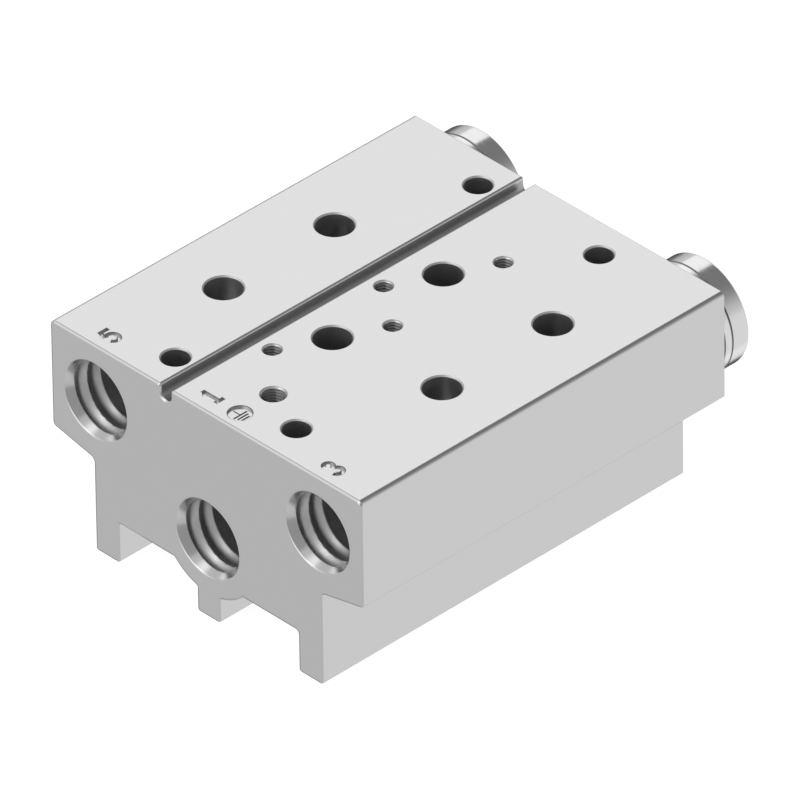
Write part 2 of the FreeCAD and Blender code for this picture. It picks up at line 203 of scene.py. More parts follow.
# %% Sizes of the section
SHOULDER_HEIGHT = 17.7
SHOULDER_UNDERSIDE = 15.9
FOOT_OUTSIDE = 23.2
FOOT_INSIDE = 18.4
KEEL_HALF_WIDTH = 2.3
CEILING = 7.0
BOSS_RADIUS = 9.6
TOP_EDGE_RADIUS = 0.85
SIDE_EDGE_RADIUS = 0.7
SHOULDER_RADIUS = 1.0
TIP_RADIUS = 0.45
RECESS_RADIUS = 0.6
ROOT_RADIUS = 0.5
GROOVE_PLACE = -8.0
GROOVE_HALF_WIDTH = 1.1
GROOVE_DEPTH = 2.35
GROOVE_LIP_RADIUS = 0.45
boss_height = float(galleries["1"][2])
print("boss:", BOSS_RADIUS, "mm round a middle", boss_height, "mm up")

# %% [markdown]
# ## The outline
#
# Each rounded corner is an arc that touches both of its sides. Where a flat meets the round boss,
# the arc's middle lies one radius from the flat and one radius from the circle. The section could
# be drawn as a curve and converted, but here its points are needed for the bevels of the ends too.

# %% Arcs and the outline
def arc(centre, radius, start, end, count):
    """Points on a circle from one angle to another, in radians."""
    angle = np.linspace(start, end, count)
    return np.stack([centre[0] + radius * np.cos(angle), centre[1] + radius * np.sin(angle)], axis=1)


def rounded_corner(before, corner, after, radius, count=7):
    """An arc in place of a corner. Its middle lies on the line that halves the corner, at the
    radius divided by the sine of half the angle."""
    before, corner, after = (np.array(point, dtype=float) for point in (before, corner, after))
    to_before = (before - corner) / np.linalg.norm(before - corner)
    to_after = (after - corner) / np.linalg.norm(after - corner)
    half_angle = math.acos(float(to_before @ to_after)) / 2
    middle = (to_before + to_after) / np.linalg.norm(to_before + to_after)
    centre = corner + middle * radius / math.sin(half_angle)
    start = corner + to_before * radius / math.tan(half_angle) - centre
    end = corner + to_after * radius / math.tan(half_angle) - centre
    first = math.atan2(start[1], start[0])
    turn = (math.atan2(end[1], end[0]) - first + math.pi) % (2 * math.pi) - math.pi
    return arc(centre, radius, first, first + turn, count)


def boss_side():
    """The right side of the boss, from the ceiling down to the keel: a root arc, the boss's own
    arc and a second root arc."""
    reach = BOSS_RADIUS + ROOT_RADIUS
    ceiling_z = CEILING - ROOT_RADIUS
    ceiling_x = math.sqrt(reach ** 2 - (boss_height - ceiling_z) ** 2)
    keel_x = KEEL_HALF_WIDTH + ROOT_RADIUS
    keel_z = boss_height - math.sqrt(reach ** 2 - keel_x ** 2)
    ceiling_angle = math.atan2(ceiling_z - boss_height, ceiling_x)
    keel_angle = math.atan2(keel_z - boss_height, keel_x)
    top_root = arc((ceiling_x, ceiling_z), ROOT_RADIUS, math.pi / 2, math.pi + ceiling_angle, count=6)
    boss = arc((0, boss_height), BOSS_RADIUS, ceiling_angle, keel_angle, count=12)
    low_root = arc((keel_x, keel_z), ROOT_RADIUS, math.pi + keel_angle, math.pi, count=6)
    return np.concatenate([top_root, boss[1:-1], low_root])


def right_side():
    """The outline from the top right edge round to the keel's right tip."""
    corners = [(0, HEIGHT), (HALF_WIDTH, HEIGHT), (HALF_WIDTH, SHOULDER_HEIGHT),
               (FOOT_OUTSIDE, SHOULDER_UNDERSIDE), (FOOT_OUTSIDE, 0), (FOOT_INSIDE, 0),
               (FOOT_INSIDE, CEILING), (0, CEILING)]
    radii = [TOP_EDGE_RADIUS, SIDE_EDGE_RADIUS, SHOULDER_RADIUS, TIP_RADIUS, TIP_RADIUS, RECESS_RADIUS]
    parts = [rounded_corner(*corners[i:i + 3], radius) for i, radius in enumerate(radii)]
    tip = rounded_corner((KEEL_HALF_WIDTH, CEILING), (KEEL_HALF_WIDTH, 0), (0, 0), TIP_RADIUS)
    return np.concatenate(parts + [boss_side(), tip])


def groove():
    """The label groove from left to right: a rounded lip, a half-round bottom, a rounded lip."""
    left = GROOVE_PLACE - GROOVE_HALF_WIDTH
    right = GROOVE_PLACE + GROOVE_HALF_WIDTH
    bottom = HEIGHT - GROOVE_DEPTH
    centre = (GROOVE_PLACE, bottom + GROOVE_HALF_WIDTH)
    left_lip = rounded_corner((-HALF_WIDTH, HEIGHT), (left, HEIGHT), (left, bottom), GROOVE_LIP_RADIUS)
    half_round = arc(centre, GROOVE_HALF_WIDTH, math.pi, 2 * math.pi, count=17)
    right_lip = rounded_corner((right, bottom), (right, HEIGHT), (HALF_WIDTH, HEIGHT), GROOVE_LIP_RADIUS)
    return np.concatenate([left_lip, half_round, right_lip])


right_half = right_side()
left_half = right_half[::-1] * (-1, 1)
outline = np.concatenate([right_half, left_half, groove()])
print("outline:", len(outline), "points")

# %% [markdown]
# ## Sawing the bar to length
#
# The outline is carried straight along Y. The sawn ends have their sharp edges bevelled, so the last
# few rows of the grid shrink towards the end face: each point moves inwards along its own normal as
# the row moves out. The normal at a point lies halfway between the directions across its two sides.
#
# The bevel is milled at 45 degrees along the edges that show. The edges that look down or to the
# left are only brushed from the front, which leaves a flatter and thinner slope. Both have worn
# corners. Each point of the outline mixes the two kinds by the way its normal points. A Bevel
# modifier could round the ends, but it would give every edge the same slope.

# %% The bar
END_BEVEL = 0.3
BEVEL_WEAR = 0.22
BRUSHED_RUN = 0.14
BRUSHED_RISE = 0.35
BRUSHED_WEAR = 0.1
BRUSHED_ONSET = 1.4


def outward_normals(points):
    """The normal at each point of a closed outline that runs clockwise."""
    along = np.roll(points, -1, axis=0) - points
    along = along / np.linalg.norm(along, axis=1, keepdims=True)
    across = np.stack([-along[:, 1], along[:, 0]], axis=1)
    across = across + np.roll(across, 1, axis=0)
    return across / np.linalg.norm(across, axis=1, keepdims=True)


def sloped_rows(run, rise, wear):
    """How far each row near an end lies from the end face, and how much its outline shrinks: a
    slope that starts at run, ends at rise and has an arc at both ends."""
    corners = [(2 * run, 0), (run, 0), (0, rise), (0, 2 * rise)]
    return np.concatenate([rounded_corner(*corners[i:i + 3], wear, count=5) for i in range(2)])


def bar():
    """The outline carried from the front to the back, shrunk near both ends. A point's share of the
    brushed kind grows as its normal turns down or to the left."""
    normals = outward_normals(outline)
    brushed = np.clip(BRUSHED_ONSET * np.maximum(-normals[:, 0], -normals[:, 1]), 0, 1)[None, :, None]
    bevel = sloped_rows(END_BEVEL, END_BEVEL, BEVEL_WEAR)[:, None]
    brush = sloped_rows(BRUSHED_RUN, BRUSHED_RISE, BRUSHED_WEAR)[:, None]
    rows = bevel * (1 - brushed) + brush * brushed
    from_end, shrink = rows[..., 0], rows[..., 1]
    y = np.concatenate([-HALF_LENGTH + from_end[::-1], HALF_LENGTH - from_end])
    shrink = np.concatenate([shrink[::-1], shrink])
    section = outline[None] - shrink[..., None] * normals[None]
    return tube(np.stack([section[..., 0], y, section[..., 1]], axis=-1))


block = make_object("block_body", bar())
print("bar:", len(block.data.vertices), "points")

# %% [markdown]
# ## Tools that cut like drills and taps
#
# Every hole in the block was made by something that turns: a drill, a countersink or a tap. So each
# cutter is a surface of turning, with a radius that depends on how far along the axis a point lies
# and, in a thread, on the angle too.
#
# A tap leaves a groove that climbs one pitch for each turn. Its place in the pitch, from 0 to 1, is
# the distance along the axis over the pitch, less the share of the turn. The bottom of the groove is
# hollow and the crest between two turns is narrow and a little worn. A parabola gives the hollow, and
# a power of it a little over 1 rounds the crest. A Screw modifier could sweep a thread as well, but
# a formula lets the groove fade out at both ends.

# %% Cutters
OUTSIDE = 1.0
DRILL_POINT = math.radians(59)
DRILL_FLAT = 0.1
CREST_WEAR = 1.25
ROWS_PER_PITCH = 7
COLUMNS = 96
DRILLED_COLUMNS = 64
THROUGH_COLUMNS = 48
TAPPED_COLUMNS = 32


def thread(along, angle, pitch, depth):
    """How far a tap's groove goes past the core at each place: the depth times one minus the
    square of the place between two crests, which runs from -1 to 1, to the power of the wear."""
    share = (along / pitch - angle / (2 * math.pi)) % 1.0
    return depth * (1 - (2 * share - 1) ** 2) ** CREST_WEAR


def turned(along, radius, centre, axis, columns):
    """A closed shape of turning. along and radius are rows, or rows x columns; axis is the
    direction that along is counted in, and centre is the place where it is 0."""
    angle = np.linspace(0, 2 * math.pi, columns, endpoint=False)
    along, radius = [np.array(rows, dtype=float) for rows in (along, radius)]
    along = along if along.ndim == 2 else np.repeat(along[:, None], columns, axis=1)
    radius = radius if radius.ndim == 2 else np.repeat(radius[:, None], columns, axis=1)
    axis = np.array(axis, dtype=float)
    side = np.array([1.0, 0, 0])
    up = np.cross(axis, side)
    points = (np.array(centre) + along[..., None] * axis
              + (radius * np.cos(angle))[..., None] * side + (radius * np.sin(angle))[..., None] * up)
    return tube(points)


def down_from_top(along, radius, place, columns):
    """A shape of turning whose axis goes straight down from the top face."""
    return turned(along, radius, (place[0], place[1], HEIGHT), (0, 0, -1), columns)


def drilled(place, depth, radius, rim, point):
    """A hole down from the top: its rim broken at 45 degrees, then the bore, then the drill's
    point if it has one, which ends in a small flat."""
    along = [-OUTSIDE, 0, rim, depth]
    radii = [radius + rim + OUTSIDE, radius + rim, radius, radius]
    if point:
        flat = DRILL_FLAT * radius
        along.append(depth + (radius - flat) / math.tan(DRILL_POINT))
        radii.append(flat)
    return down_from_top(along, radii, place, DRILLED_COLUMNS)


def through_hole(place, radius, rim):
    """A plain hole from the top through to the ceiling of the rail recess, with both rims broken."""
    bottom = HEIGHT - CEILING
    along = [-OUTSIDE, 0, rim, bottom - rim, bottom, bottom + OUTSIDE]
    radii = [radius + rim + OUTSIDE, radius + rim, radius, radius, radius + rim, radius + rim + OUTSIDE]
    return down_from_top(along, radii, place, THROUGH_COLUMNS)


def tapped(place, depth, core, mouth, pitch, groove_depth):
    """A small tapped hole down from the top: a countersink at 45 degrees, the thread, which fades
    out over its last turn, and the plain point of the drill."""
    along = np.concatenate([[-OUTSIDE], np.arange(0, depth - pitch, pitch / ROWS_PER_PITCH), [depth]])
    angle = np.linspace(0, 2 * math.pi, TAPPED_COLUMNS, endpoint=False)
    groove = thread(along[:, None], angle[None], pitch, groove_depth)
    groove = groove * np.clip((depth - pitch - along) / pitch, 0, 1)[:, None]
    radius = np.maximum(core + groove, (mouth - along)[:, None])
    tip = np.full((1, TAPPED_COLUMNS), DRILL_FLAT * core)
    along = np.append(along, depth + (1 - DRILL_FLAT) * core / math.tan(DRILL_POINT))
    return down_from_top(along, np.concatenate([radius, tip]), place, TAPPED_COLUMNS)

# %% [markdown]
# ## The machining of the top face
#
# The valve ports and tapped holes are cut from the top. Their places come from the mounts of the
# measured model. Each valve is held by two screws that lie on opposite sides of its middle port.
#
# All these holes stand clear of each other, so they can be joined and taken away in one boolean.
# The exact solver is the slower one, but it leaves clean rims. Holes could be cut by hand into the
# faces, but a boolean with the tool's own shape gives rim, bore and point at once, as the tool does.

# %% Holes in the top
RIM = 0.22
VALVE_SCREW = {"depth": 7.5, "core": 1.25, "mouth": 1.55, "pitch": 0.5, "groove_depth": 0.25}
EARTH_SCREW = {"depth": 8.0, "core": 1.65, "mouth": 2.05, "pitch": 0.5, "groove_depth": 0.28}
SCREW_OFFSET = np.array([3.95, 8.05])
valve_ports = [name for name in mounts if name.startswith("valve_port_")]
screw_places = [mount_place(f"valve_screws_{station}")[:2] + side * SCREW_OFFSET
                for station in ("a", "b") for side in (-1, 1)]
mounting_radius = mount_size("mounting_holes", "hole_r_mm")
mounting_places = [(x * mount_size("mounting_holes", "spacing_x_mm") / 2,
                    y * mount_size("mounting_holes", "spacing_y_mm") / 2)
                   for x in (-1, 1) for y in (-1, 1)]


def valve_port(name):
    """A drilling from the top to the end of its straight wall, or to the gallery's own axis where
    it breaks through into the supply gallery."""
    place = mount_place(name)
    radius = mount_size(name, "r_mm")
    bottom = place[2] - mount_size(name, "length_mm") / 2
    supply = name.startswith("valve_port_1")
    depth = HEIGHT - (boss_height if supply else bottom)
    return drilled(place, depth, radius, RIM, point=not supply)


def top_holes():
    """Every hole that goes down from the top face."""
    holes = [valve_port(name) for name in valve_ports]
    holes += [tapped(place, **VALVE_SCREW) for place in screw_places]
    holes.append(tapped(mount_place("earth_hole"), **EARTH_SCREW))
    holes += [through_hole(place, mounting_radius, RIM) for place in mounting_places]
    return holes


def cut_away(piece, shape):
    """Takes a closed shape out of a piece, with a boolean that is applied at once."""
    cutter = make_object("cutter", shape)
    boolean = piece.modifiers.new("cut", "BOOLEAN")
    boolean.operation = "DIFFERENCE"
    boolean.solver = "EXACT"
    boolean.object = cutter
    result = bpy.data.meshes.new_from_object(piece.evaluated_get(bpy.context.evaluated_depsgraph_get()))
    piece.modifiers.clear()
    piece.data = result
    bpy.data.objects.remove(cutter)


cut_away(block, joined(top_holes()))
print("after the top holes:", len(block.data.polygons), "faces")

# %% [markdown]
# ## The engraved marks
#
# Plain numbers beside the ports say which is which, and an earth sign marks the earth screw. An
# engraver's cutter follows a line, so each stroke is a flat-bottomed trench with a small lip along
# its upper edges. Its section has eight points, which are carried along the line. Where the line
# turns, the sides are moved along the half of the turn, so that the trench keeps its width. A text
# object could be cut in instead, but its letters have the forms of a font, not of a cutter.

# %% Engraving
STROKE_WIDTH = 0.5
STROKE_DEPTH = 0.38
LIP_WIDTH = 0.12


def stroke(line, width, depth, top=HEIGHT, lip=LIP_WIDTH):
    """A trench along a line of (x, y) points. At each point the sides stand off by half the width,
    divided by the cosine of half the turn. The lip adds to both sides and to both ends."""
    line = np.array(line, dtype=float)
    along = np.diff(line, axis=0)
    along = along / np.linalg.norm(along, axis=1, keepdims=True)
    before = np.concatenate([along[:1], along])
    after = np.concatenate([along, along[-1:]])
    middle = before + after
    middle = middle / np.linalg.norm(middle, axis=1, keepdims=True)
    half_turn = np.einsum("ij,ij->i", middle, after)[:, None]
    side = np.stack([-middle[:, 1], middle[:, 0]], axis=1) / half_turn
    onward = np.zeros_like(line)
    onward[0] = -along[0]
    onward[-1] = along[-1]
    offset = np.array([1, -1, -1, -1, -1, 1, 1, 1]) * width / 2
    added = np.array([1, -1, -1, 0, 0, 0, 0, 1]) * lip
    levels = top + np.array([OUTSIDE, OUTSIDE, 0, -lip / 2, -depth, -depth, -lip / 2, 0])
    edges = line[:, None] + side[:, None] * (offset + added)[None, :, None]
    edges = edges + onward[:, None] * np.abs(added)[None, :, None]
    z = np.broadcast_to(levels[None, :, None], edges.shape[:2] + (1,))
    return tube(np.concatenate([edges, z], axis=-1))


def on_face(letter_points, middle):
    """Letter points (across, up) laid on the top face. Up is towards -X and across towards +Y, as
    someone reads them who stands at the right side."""
    letter_points = np.array(letter_points, dtype=float)
    return np.stack([middle[0] - letter_points[:, 1], middle[1] + letter_points[:, 0]], axis=1)


def letter_arc(centre, radii, start, end, count=16):
    """Part of an oval in letter points, from one angle to another in degrees."""
    angle = np.radians(np.linspace(start, end, count))
    return np.stack([centre[0] + radii[0] * np.cos(angle), centre[1] + radii[1] * np.sin(angle)], axis=1)


def five():
    """The lines of a 5: the bar with the leaning stem, and the belly."""
    stem = [(1.0, 1.28), (-0.55, 1.28), (-0.92, -0.1)]
    belly = letter_arc((-0.02, -0.72), (0.95, 1.02), 140, -152, 24)
    return [stem, belly]


def one():
    """The lines of a 1 with a flag and a foot."""
    return [[(-0.1, 2.0), (-0.1, -1.45)], [(-0.75, 0.8), (-0.15, 1.6)], [(-0.9, -1.42), (0.8, -1.42)]]


def three():
    """The line of a 3: two bowls that meet in a point at the left of the middle."""
    upper = letter_arc((0.25, 1.08), (0.72, 0.72), 168, -55, 20)
    lower = letter_arc((0.3, -0.65), (0.92, 0.85), 68, -170, 22)
    return [np.concatenate([upper, [(0.25, 0.3)]]), np.concatenate([[(0.25, 0.3)], lower])]


MARKS = {"5": (five(), (-22.85, -32.9)), "1": (one(), (-1.7, -32.9)), "3": (three(), (23.0, -33.35))}
FLOOR_STEP = 0.01


def engrave_numbers():
    """Cuts the strokes one by one, each a hair deeper than the last one, so that no two floors lie
    in the same plane."""
    for lines, middle in MARKS.values():
        for place, line in enumerate(lines):
            depth = STROKE_DEPTH + place * FLOOR_STEP
            cut_away(block, stroke(on_face(line, middle), STROKE_WIDTH, depth))


engrave_numbers()
print("after the numbers:", len(block.data.polygons), "faces")

# %% [markdown]
# The earth sign is a round pocket with a thin stem and three bars of shrinking length, cut a little
# deeper into its floor.

# %% Earth sign
EARTH_PLACE = np.array([3.95, -33.0])
EARTH_RADIUS = 1.8
EARTH_POCKET = 0.35
EARTH_BARS = ((0.05, 1.3), (0.6, 1.05), (1.15, 0.75))
EARTH_BAR = {"width": 0.2, "depth": 0.3, "lip": 0.06}
EARTH_STEM_ENDS = np.array([(-1.35, 0), (-0.1, 0)])
EARTH_STEM = {"width": 0.12, "depth": 0.26, "lip": 0.05}


def engrave_earth_sign():
    """A round pocket, then the bars and the stem in its floor. A bar is given by its place along X
    and half its length."""
    rim = EARTH_RADIUS + LIP_WIDTH
    floor = HEIGHT - EARTH_POCKET
    cut_away(block, down_from_top([-OUTSIDE, 0, LIP_WIDTH / 2, EARTH_POCKET],
                                  [rim, rim, EARTH_RADIUS, EARTH_RADIUS], EARTH_PLACE, DRILLED_COLUMNS))
    bars = [EARTH_PLACE + np.array([(x, -half), (x, half)]) for x, half in EARTH_BARS]
    cut_away(block, joined([stroke(bar_line, top=floor, **EARTH_BAR) for bar_line in bars]))
    cut_away(block, stroke(EARTH_PLACE + EARTH_STEM_ENDS, top=floor, **EARTH_STEM))


engrave_earth_sign()
print("after the earth sign:", len(block.data.polygons), "faces")

# %% [markdown]
# ## The galleries and their ports
#
# Each gallery runs right through. At both ends it opens into a port: a countersunk mouth, a wider
# bore for the thread, and a cone where the drill stopped. It could be cut with a row of cylinders
# and cones. Here one radius is worked out as a function of the place along Y and the angle round the
# axis, so that the thread can run out of the mouth's cone. The thread is cut only into the open
# ports, because the plugs hide the others.

# %% Galleries
GALLERY_RADIUS = 5.25
MOUTH_RADIUS = 6.5
MOUTH_SLOPE = math.tan(math.radians(30))
PORT_DEPTH = 13.0
PORT_PITCH = 2.6
PORT_GROOVE = 0.62
THREAD_TURNS = 2
THREAD_RUN_OUT = 0.8
THREAD_RUN_IN = 0.5
THREAD_ROW = 0.1
RIM_WEAR = 0.33


def mouth_depth(core):
    """How deep the mouth's cone goes until it meets the core."""
    return (MOUTH_RADIUS - core) / MOUTH_SLOPE


def port_radius(depth, core):
    """Radius at a depth from the end face, without the thread: the mouth's cone, the core, then
    the cone of the drill down to the gallery."""
    mouth = MOUTH_RADIUS - depth * MOUTH_SLOPE
    stop = core - np.clip(depth - PORT_DEPTH, 0, None) * math.tan(DRILL_POINT)
    return np.maximum.reduce([mouth, stop, np.full_like(mouth, GALLERY_RADIUS)])


def worn_rim():
    """Depth and radius of the arc between the end face and the mouth's cone."""
    on_cone = (1, MOUTH_RADIUS - MOUTH_SLOPE)
    return rounded_corner((0, MOUTH_RADIUS + 1), (0, MOUTH_RADIUS), on_cone, RIM_WEAR).T


def port_groove(depth, angle, core):
    """The thread of an open port. It starts gently behind the mouth's cone and fades out over the
    last part of its last turn."""
    turns = depth / PORT_PITCH - angle / (2 * math.pi)
    run_in = np.clip((depth - mouth_depth(core)) / THREAD_RUN_IN, 0, 1)
    run_out = np.clip((2 * math.pi - angle) / THREAD_RUN_OUT, 0, 1)
    last_turn = np.where(turns < THREAD_TURNS, run_out, 0)
    share = np.where(turns < THREAD_TURNS - 1, 1, last_turn)
    return thread(depth, angle, PORT_PITCH, PORT_GROOVE) * share * run_in


def gallery(number):
    """The cutter of one gallery with both of its ports, along Y: a rim, the open port with its
    thread, then the plugged port without one, and a rim again."""
    core = mount_size(f"port_{number}", "r_mm")
    place = galleries[number]
    angle = np.linspace(0, 2 * math.pi, COLUMNS, endpoint=False)[None]
    rim_depth, rim_radius = worn_rim()
    outer_depth = np.concatenate([[-OUTSIDE], rim_depth])
    outer_radius = np.concatenate([rim_radius[:1], rim_radius])
    corner = PORT_DEPTH + (core - GALLERY_RADIUS) / math.tan(DRILL_POINT)
    thread_end = (THREAD_TURNS + 1) * PORT_PITCH + 2 * THREAD_ROW
    threaded = np.arange(rim_depth[-1] + THREAD_ROW, thread_end, THREAD_ROW)
    front = np.concatenate([threaded, [PORT_DEPTH, corner]])
    groove = port_groove(front[:, None], angle, core)
    front_radius = np.maximum(port_radius(front, core)[:, None], core + groove)
    back = np.array([corner, PORT_DEPTH, mouth_depth(core)])
    back_radius = np.concatenate([port_radius(back, core), outer_radius[::-1]])
    radius = np.concatenate([np.repeat(outer_radius[:, None], COLUMNS, axis=1), front_radius,
                             np.repeat(back_radius[:, None], COLUMNS, axis=1)])
    from_back = np.concatenate([back, outer_depth[::-1]])
    along = np.concatenate([outer_depth, front, 2 * HALF_LENGTH - from_back])
    return turned(along, radius, (place[0], FRONT, place[2]), (0, 1, 0), COLUMNS)


cut_away(block, joined([gallery(number) for number in PORT_NUMBERS]))
round_shading(block)
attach(block, "root")
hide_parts("manifold_block")
print("block:", sum(len(face.vertices) - 2 for face in block.data.polygons), "triangles")

# %% [markdown]
# ## The plugs
#
# A plug is turned from bar, so it is one profile turned round its axis: the floor of the socket, the
# socket's wall, the polished face of the head, its rounded rim, and the threaded shank. Only the
# socket isn't round. Its six sides come from the same formula with one more factor: the radius of a
# hexagon at an angle is the radius of its corner times the cosine of 30 degrees, divided by the
# cosine of the angle from the middle of the nearest side. The socket is countersunk at 45 degrees
# before it is broached, so its flat sides end in arcs, as deep as the mouth stands out beyond them.
# A hexagonal prism could be taken out of a cylinder, but one grid stays closed and needs no boolean.

# %% Plug profile
PLUG_RIM = 0.3
PLUG_FACE_MARGIN = 1.2
HEAD_CHAMFER = 0.15
SOCKET_HALF = 3.0
SOCKET_DEPTH = 5.0
SOCKET_MOUTH = 3.6
SHANK_RADIUS = 5.6225
SHANK_START = 0.6
SHANK_ROW = 0.15
SHANK_GROOVE = 0.45
SHANK_PITCH = 1.337
SHANK_CHAMFER = 0.4
UNDERCUT_START = 0.05
UNDERCUT_RADIUS = 4.9


def hexagon(angle):
    """The radius of a hexagon whose corners lie at radius 1, with one corner straight up."""
    from_side = (angle + math.pi / 6) % (math.pi / 3) - math.pi / 6
    return math.cos(math.pi / 6) / np.cos(from_side)


def plug(number):
    """A whole plug as one closed surface, from the socket's floor out over the head and down to
    the end of the shank. Each row has a place along Y, a radius and a share of six-sidedness."""
    low, high = node_box(f"blanking_plug_{number}")
    middle = (low + high) / 2
    face, end = high[1], low[1]
    head = high[0] - middle[0]
    seat = node_box(f"sealing_ring_{number}")[1][1]
    corner = SOCKET_HALF / math.cos(math.pi / 6)
    turn = np.linspace(0, math.pi / 2, 6)
    rim_in = head - PLUG_RIM * (1 - np.cos(turn))
    rim_out = face - PLUG_RIM * (1 - np.sin(turn))
    rows = [(face - SOCKET_DEPTH, corner, 1), (face, corner, 1), (face, SOCKET_MOUTH, 0)]
    rows += [(face, head - PLUG_FACE_MARGIN, 0)]
    rows += list(zip(rim_out[::-1], rim_in[::-1], [0] * len(turn)))
    rows += [(seat + HEAD_CHAMFER, head, 0), (seat, head - HEAD_CHAMFER, 0), (seat, SHANK_RADIUS, 0)]
    rows += [(seat - UNDERCUT_START, UNDERCUT_RADIUS, 0)]
    shank = np.arange(seat - SHANK_START, end + SHANK_CHAMFER, -SHANK_ROW)
    rows += [(y, SHANK_RADIUS, 0) for y in shank]
    rows += [(end, SHANK_RADIUS - SHANK_CHAMFER, 0)]
    y, radius, six = np.array(rows).T
    angle = np.linspace(0, 2 * math.pi, COLUMNS, endpoint=False)
    radius = radius[:, None] * (1 - six[:, None] + six[:, None] * hexagon(angle)[None])
    y = np.repeat(y[:, None], COLUMNS, axis=1)
    y[1] = face - (SOCKET_MOUTH - radius[1])
    groove = thread(y, angle[None], SHANK_PITCH, SHANK_GROOVE)
    threaded = (y <= shank[0]) & (y > end)
    radius = np.where(threaded, SHANK_RADIUS - groove, radius)
    return turned(y, radius, (middle[0], 0, middle[2]), (0, 1, 0), COLUMNS)


for number in PORT_NUMBERS:
    piece = make_object(f"plug_{number}", plug(number))
    round_shading(piece)
    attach(piece, "root")
    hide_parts(f"blanking_plug_{number}")
    print(piece.name, len(piece.data.polygons), "faces")

# %% [markdown]
# ## The sealing rings
#
# Each ring is a flat washer with its four edges broken. Its section is a small rounded rectangle
# that goes once round the axis, so the grid is closed both ways and has no ends. A washer could be
# made from a cylinder with a hole and a Bevel modifier, but this is one formula.

# %% Rings
RING_ROUNDING = 0.2
RING_WIDTH = 2.2


def sealing_ring(number):
    """A rounded rectangle turned round the gallery's axis. The section's corners are quarter
    circles, and its other points follow the edges."""
    low, high = node_box(f"sealing_ring_{number}")
    middle = (low + high) / 2
    outer = high[0] - middle[0]
    inner = outer - RING_WIDTH
    corners = [(low[1], inner), (low[1], outer), (high[1], outer), (high[1], inner)]
    section = [rounded_corner(corners[i - 1], corners[i], corners[(i + 1) % 4], RING_ROUNDING, count=5)
               for i in range(4)]
    y, radius = np.concatenate(section).T
    angle = np.linspace(0, 2 * math.pi, COLUMNS, endpoint=False)
    points = np.stack([middle[0] + radius[:, None] * np.cos(angle),
                       np.repeat(y[:, None], COLUMNS, axis=1),
                       middle[2] + radius[:, None] * np.sin(angle)], axis=-1)
    return loop(points)


for number in PORT_NUMBERS:
    piece = make_object(f"ring_{number}", sealing_ring(number))
    round_shading(piece)
    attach(piece, "root")
    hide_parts(f"sealing_ring_{number}")
    print(piece.name, len(piece.data.polygons), "faces")

# %% [markdown]
# ## Finishes
#
# Every finish is bare or plated metal, so the colour comes from reflection and the detail lives in
# the roughness and the bump. Both could come from pictures of metal, but a noise has no seams, fits
# any shape and can be as fine as the real grain.

# %% Material helpers
GRAIN_DETAIL = 3
GRAIN_DEPTH = 0.00002
NOISE_LOW = 0.3
NOISE_HIGH = 0.7


def new_material(name, tone, metallic, roughness):
    """A grey material whose constant values sit on the shader's own sockets."""
    material = bpy.data.materials.new(name)
    material.use_nodes = True
    shader = material.node_tree.nodes["Principled BSDF"]
    shader.inputs["Base Color"].default_value = (tone, tone, tone, 1)
    shader.inputs["Metallic"].default_value = metallic
    shader.inputs["Roughness"].default_value = roughness
    return material, material.node_tree, shader


def noise(tree, scale, stretch):
    """Noise on Object coordinates. scale counts the grains in a metre, and a stretch below 1 makes
    them longer along that axis."""
    coordinates = tree.nodes.new("ShaderNodeTexCoord")
    mapping = tree.nodes.new("ShaderNodeMapping")
    mapping.inputs["Scale"].default_value = stretch
    texture = tree.nodes.new("ShaderNodeTexNoise")
    texture.inputs["Scale"].default_value = scale
    texture.inputs["Detail"].default_value = GRAIN_DETAIL
    tree.links.new(coordinates.outputs["Object"], mapping.inputs["Vector"])
    tree.links.new(mapping.outputs["Vector"], texture.inputs["Vector"])
    return texture.outputs["Fac"]


def between(tree, value, low, high):
    """The values that noise mostly gives, brought between two others."""
    scaled = tree.nodes.new("ShaderNodeMapRange")
    scaled.inputs["From Min"].default_value = NOISE_LOW
    scaled.inputs["From Max"].default_value = NOISE_HIGH
    scaled.inputs["To Min"].default_value = low
    scaled.inputs["To Max"].default_value = high
    tree.links.new(value, scaled.inputs["Value"])
    return scaled.outputs["Result"]


def metal(name, tone, roughness, limits, grain, stretch, bump_strength):
    """A metal whose roughness runs between two limits, by the same noise as its bump."""
    material, tree, shader = new_material(name, tone, 1, roughness)
    marks = noise(tree, grain, stretch)
    tree.links.new(between(tree, marks, *limits), shader.inputs["Roughness"])
    bump = tree.nodes.new("ShaderNodeBump")
    bump.inputs["Strength"].default_value = bump_strength
    bump.inputs["Distance"].default_value = GRAIN_DEPTH
    tree.links.new(marks, bump.inputs["Height"])
    tree.links.new(bump.outputs["Normal"], shader.inputs["Normal"])
    return material

# %% [markdown]
# ## The three outside finishes
#
# The block is anodised after machining, which etches a fine matt grain with no direction. The plugs
# are brass with bright nickel plate, and the rings are bare aluminium. A lathe leaves marks that run
# round the axis, so the noise on these two changes fast along Y and slowly across it.

# %% The metals
EVEN = (1, 1, 1)
TURNED = (0.05, 1, 0.05)
FINISHES = {"block": metal("anodised_aluminium", 0.745, 0.2, (0.17, 0.24), 5200, EVEN, 0.10),
            "plug": metal("polished_nickel", 0.84, 0.15, (0.12, 0.20), 2500, TURNED, 0.05),
            "ring": metal("turned_aluminium", 0.88, 0.22, (0.18, 0.28), 3500, TURNED, 0.08)}
for piece in bpy.context.scene.objects:
    kind = piece.name.split("_")[0]
    if kind in FINISHES:
        piece.data.materials.clear()
        piece.data.materials.append(FINISHES[kind])
print("finishes:", list(FINISHES))
